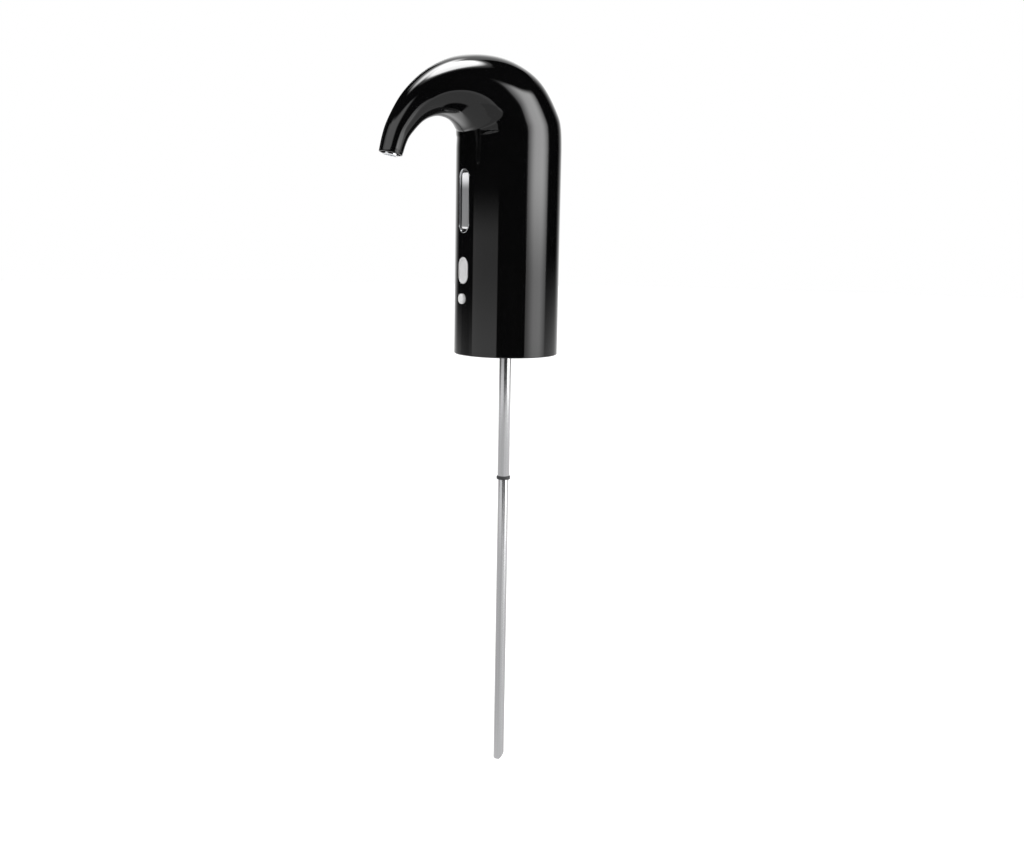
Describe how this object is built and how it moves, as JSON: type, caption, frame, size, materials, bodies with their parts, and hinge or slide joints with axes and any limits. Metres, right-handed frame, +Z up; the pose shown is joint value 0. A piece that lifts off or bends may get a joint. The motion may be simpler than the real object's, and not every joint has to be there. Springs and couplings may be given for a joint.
{
  "type": "electric wine aerator",
  "caption": "Battery pourer that sits on a bottle: round black body with a swan-neck spout, lit window, push button and telescopic tube.",
  "frame": {"origin": "on the bottle's axis, in the plane where the bottle's lip meets the soft seat", "axes": "+Z up along the bottle's axis; the spout reaches towards -Y; the housing halves meet on X = 0"},
  "size_m": [0.06, 0.1126, 0.4172],
  "materials": {
    "housing": "polished black",
    "bezel": "polished",
    "tray": "dark",
    "light_bar": "satin, lets light through",
    "button": "satin silver",
    "lens": "satin, lets light through",
    "board": "solder mask",
    "screws": "plain",
    "leds": "clear",
    "switch": "plain",
    "plunger": "plain",
    "base_cup": "fine texture",
    "silicone": "soft matt",
    "core": "plain",
    "tube": "drawn tube",
    "nozzle": "polished",
    "hose": "clear silicone",
    "chassis": "plain",
    "battery": "sleeve",
    "port": "plain",
    "pump_plastic": "plain",
    "shaft_steel": "ground",
    "motor_can": "zinc plated",
    "magnet": "sintered",
    "lamination": "wound core",
    "copper": "plain",
    "bronze": "sintered",
    "end_cap": "plain"
  },
  "bodies": {
    "housing": {"air_hose": "hose", "base_cup": "base_cup", "base_screws": "screws", "battery_cell": "battery", "board_screws": "screws", "bottle_stopper": "silicone", "charge_board": "board", "charge_port": "port", "chassis": "chassis", "chassis_screws": "screws", "control_board": "board", "core_screws": "screws", "diaphragm": "silicone", "dip_tube_upper": "tube", "indicator_lens": "lens", "left_shell": "housing", "light_bar": "light_bar", "motor_bushes": "bronze", "motor_can": "motor_can", "motor_end_cap": "end_cap", "motor_magnets": "magnet", "motor_screws": "screws", "motor_terminals": "copper", "nozzle_o_ring": "silicone", "pump_case": "pump_plastic", "pump_head": "pump_plastic", "pump_screws": "screws", "right_shell": "housing", "spout_nozzle": "nozzle", "status_leds": "leds", "stopper_core": "core", "tact_switch": "switch", "tube_collar": "silicone", "umbrella_valves": "silicone", "valve_plate": "pump_plastic", "window_bezel": "bezel", "window_tray": "tray", "wine_hose": "hose"},
    "button": {"power_button": "button", "switch_plunger": "plunger"},
    "rotor": {"armature": "lamination", "commutator": "copper", "motor_shaft": "shaft_steel", "eccentric_hub": "pump_plastic", "drive_pin": "shaft_steel"},
    "wobble_plate": {"swash_plate": "pump_plastic"},
    "lower_tube": {"dip_tube_lower": "tube"}
  },
  "joints": [
    {"name": "button_press", "type": "slide", "parent": "housing", "child": "button", "axis": [0, 1, 0], "range_m": [0, 0.0004], "stiffness_N_per_m": 2500, "springref_m": -0.0001},
    {"name": "motor_spin", "type": "hinge", "parent": "housing", "child": "rotor", "pos_m": [0.0086, 0.0022, 0.05], "axis": [0, 0, 1], "continuous": true},
    {"name": "plate_wobble", "type": "hinge", "parent": "rotor", "child": "wobble_plate", "pos_m": [0.0086, 0.0022, 0.0283], "axis": [0.1219, 0, 0.9925], "continuous": true, "deforming": ["diaphragm"]},
    {"name": "tube_extend", "type": "slide", "parent": "housing", "child": "lower_tube", "axis": [0, 0, 1], "range_m": [-0.01, 0.06]}
  ],
  "couplings": [
    {"joint": "plate_wobble", "follows": "motor_spin", "ratio": -1}
  ]
}
